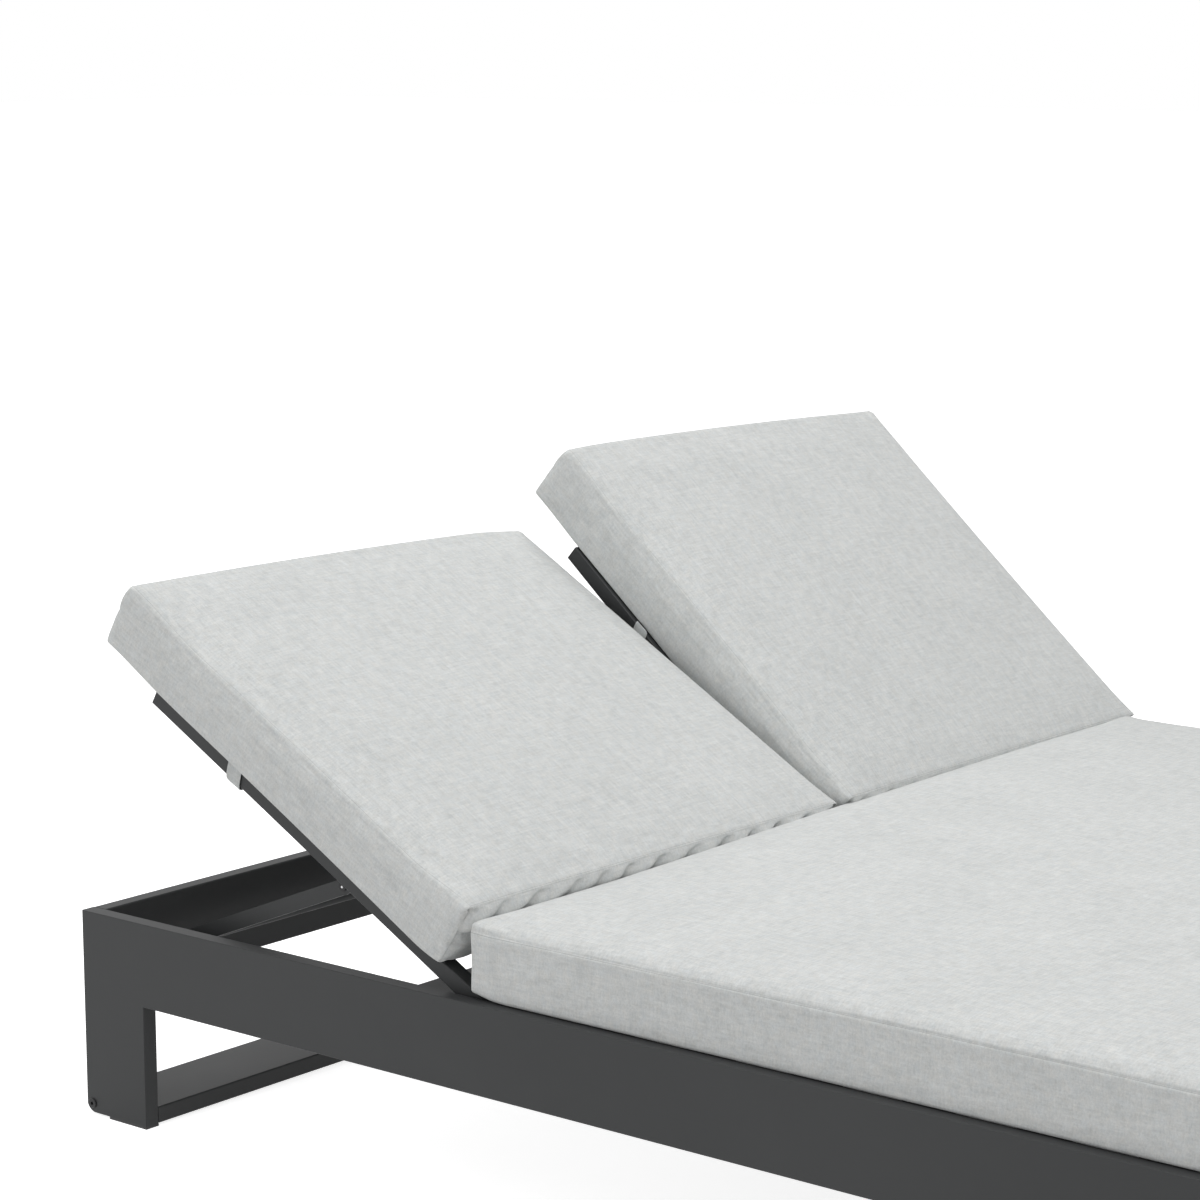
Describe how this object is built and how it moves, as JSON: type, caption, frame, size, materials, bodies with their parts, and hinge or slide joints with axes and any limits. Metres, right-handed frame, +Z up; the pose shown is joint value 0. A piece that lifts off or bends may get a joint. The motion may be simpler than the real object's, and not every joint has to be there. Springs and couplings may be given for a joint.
{
  "type": "double chaise lounger",
  "caption": "Double-width outdoor chaise with a low sled frame of rectangular tube, box cushions and side-by-side backrests that recline on notched stays.",
  "frame": {"origin": "on the floor, under the middle of the frame", "axes": "+X along the lounger to the foot end, +Y to the far side, +Z up"},
  "size_m": [2.0015, 1.384, 0.7303],
  "materials": {
    "charcoal_coat": "matte",
    "black_plastic": "matte",
    "black_steel": "satin",
    "bright_steel": "satin",
    "wheel_tyre": "matte",
    "cushion_fabric": "matte"
  },
  "bodies": {
    "frame": {"near_side_rail": "charcoal_coat", "far_side_rail": "charcoal_coat", "near_head_post": "charcoal_coat", "far_head_post": "charcoal_coat", "near_foot_post": "charcoal_coat", "far_foot_post": "charcoal_coat", "head_end_rail": "charcoal_coat", "foot_end_rail": "charcoal_coat", "head_floor_bar": "charcoal_coat", "foot_floor_bar": "charcoal_coat", "centre_rail": "charcoal_coat", "near_hinge_rail": "charcoal_coat", "far_hinge_rail": "charcoal_coat", "centre_hinge_bracket": "charcoal_coat", "near_racks": "charcoal_coat", "far_racks": "charcoal_coat", "seat_slat_1": "charcoal_coat", "seat_slat_2": "charcoal_coat", "seat_slat_3": "charcoal_coat", "seat_slat_4": "charcoal_coat", "seat_slat_5": "charcoal_coat", "seat_slat_6": "charcoal_coat", "seat_slat_7": "charcoal_coat", "seat_slat_8": "charcoal_coat", "seat_slat_9": "charcoal_coat", "seat_slat_10": "charcoal_coat", "seat_slat_11": "charcoal_coat", "glides": "black_plastic", "wheel_axle_bolts": "black_steel", "outer_hinge_bolts": "black_steel", "centre_hinge_bolt": "black_steel", "outer_hinge_spacers": "black_plastic", "centre_hinge_spacers": "black_plastic", "seat_cushion": "cushion_fabric"},
    "near_wheel": {"near_wheel": "wheel_tyre"},
    "near_back": {"near_back_outer_tube": "charcoal_coat", "near_back_inner_tube": "charcoal_coat", "near_back_top_tube": "charcoal_coat", "near_back_bottom_tube": "charcoal_coat", "near_back_slats": "charcoal_coat", "near_back_tube_caps": "black_plastic", "near_stay_lugs": "charcoal_coat", "near_stay_rivets": "bright_steel", "near_back_cushion": "cushion_fabric", "near_cushion_straps": "cushion_fabric"},
    "near_stay": {"near_stay_arms": "charcoal_coat", "near_stay_bar": "charcoal_coat"},
    "far_wheel": {"far_wheel": "wheel_tyre"},
    "far_back": {"far_back_outer_tube": "charcoal_coat", "far_back_inner_tube": "charcoal_coat", "far_back_top_tube": "charcoal_coat", "far_back_bottom_tube": "charcoal_coat", "far_back_slats": "charcoal_coat", "far_back_tube_caps": "black_plastic", "far_stay_lugs": "charcoal_coat", "far_stay_rivets": "bright_steel", "far_back_cushion": "cushion_fabric", "far_cushion_straps": "cushion_fabric"},
    "far_stay": {"far_stay_arms": "charcoal_coat", "far_stay_bar": "charcoal_coat"}
  },
  "joints": [
    {"name": "near_recline", "type": "hinge", "parent": "frame", "child": "near_back", "pos_m": [-0.41, 0, 0.238], "axis": [0, 1, 0], "range_deg": [-29.5, 20.81]},
    {"name": "near_stay_fold", "type": "hinge", "parent": "near_back", "child": "near_stay", "pos_m": [-0.62371, 0, 0.32938], "axis": [0, 1, 0], "range_deg": [-35.7, 50.6]},
    {"name": "far_recline", "type": "hinge", "parent": "frame", "child": "far_back", "pos_m": [-0.41, 0, 0.238], "axis": [0, 1, 0], "range_deg": [-41.05, 9.25]},
    {"name": "far_stay_fold", "type": "hinge", "parent": "far_back", "child": "far_stay", "pos_m": [-0.60107, 0, 0.37034], "axis": [0, 1, 0], "range_deg": [-16, 70.4]},
    {"name": "near_wheel_spin", "type": "hinge", "parent": "frame", "child": "near_wheel", "pos_m": [-0.99, 0, 0.014], "axis": [0, 1, 0], "continuous": true},
    {"name": "far_wheel_spin", "type": "hinge", "parent": "frame", "child": "far_wheel", "pos_m": [-0.99, 0, 0.014], "axis": [0, 1, 0], "continuous": true}
  ],
  "couplings": [
    {"joint": "near_stay_fold", "follows": "near_recline", "ratio": -1.71},
    {"joint": "far_stay_fold", "follows": "far_recline", "ratio": -1.71}
  ]
}
